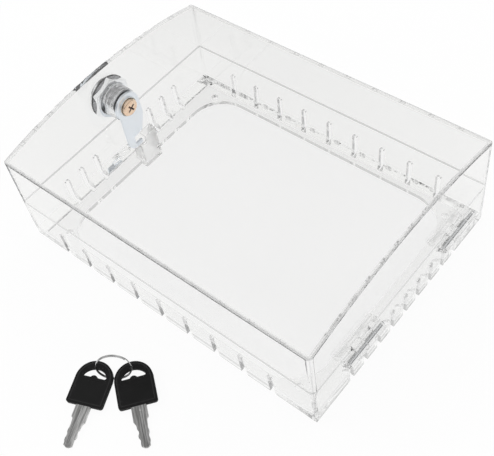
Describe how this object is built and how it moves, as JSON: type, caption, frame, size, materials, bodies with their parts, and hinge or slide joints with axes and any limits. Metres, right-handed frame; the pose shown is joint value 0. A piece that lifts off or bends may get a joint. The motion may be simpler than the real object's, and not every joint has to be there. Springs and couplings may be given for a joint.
{
  "type": "thermostat lock box",
  "caption": "Clear plastic lock box that screws to a wall over a thermostat, with a hinged arched lid, vented tray, cam lock and keys on a ring.",
  "frame": {"origin": "on the wall surface, midway between the screw holes in the back flange", "axes": "+Z off the wall towards the lid, +X from the lock end to the hinge end, +Y along the short walls"},
  "size_m": [0.2197, 0.2416, 0.0727],
  "materials": {
    "clear_plastic": "clear, polished mould",
    "pin_steel": "drawn wire",
    "lock_zinc": "bright nickel plate",
    "bright_zinc": "blue zinc plate",
    "brass": "stamped",
    "copper_screw": "yellow zinc plate",
    "spring_steel": "wire",
    "key_nickel": "nickel plate",
    "key_black": "moulded satin"
  },
  "bodies": {
    "tray": {"base_tray": "clear_plastic", "latch_keeper": "clear_plastic", "hinge_pin_near": "pin_steel", "hinge_pin_far": "pin_steel"},
    "lid": {"lid_shell": "clear_plastic", "lock_housing": "lock_zinc", "lock_washer": "lock_zinc", "lock_nut": "lock_zinc"},
    "plug": {"lock_plug": "lock_zinc", "wafer_1": "brass", "wafer_2": "brass", "wafer_3": "brass", "wafer_4": "brass", "wafer_5": "brass", "wafer_springs": "spring_steel", "stop_washer": "bright_zinc", "lock_cam": "bright_zinc", "cam_washer": "lock_zinc", "cam_screw": "copper_screw"},
    "ring": {"key_ring": "spring_steel"},
    "left_key": {"key_blade_left": "key_nickel", "key_head_left": "key_black"},
    "right_key": {"key_blade_right": "key_nickel", "key_head_right": "key_black"}
  },
  "joints": [
    {"name": "lid_hinge", "type": "hinge", "parent": "tray", "child": "lid", "pos_m": [0.1082, 0, 0.03005], "axis": [0, 1, 0], "range_deg": [0, 130]},
    {"name": "lock_turn", "type": "hinge", "parent": "lid", "child": "plug", "pos_m": [-0.0876, -0.0015, 0.0506], "axis": [1, 0, 0], "range_deg": [-80, 10]},
    {"name": "keys_lift", "type": "slide", "parent": "tray", "child": "ring", "axis": [0, 0, 1], "range_m": [0, 0.05]},
    {"name": "left_key_swing", "type": "hinge", "parent": "ring", "child": "left_key", "pos_m": [-0.00073, -0.12435, 0.00434], "axis": [0.0335, -0.0805, 0.9962], "range_deg": [-15, 0]},
    {"name": "right_key_swing", "type": "hinge", "parent": "ring", "child": "right_key", "pos_m": [0.01091, -0.11465, 0.00441], "axis": [0.0692, -0.0531, 0.9962], "range_deg": [0, 15]}
  ]
}
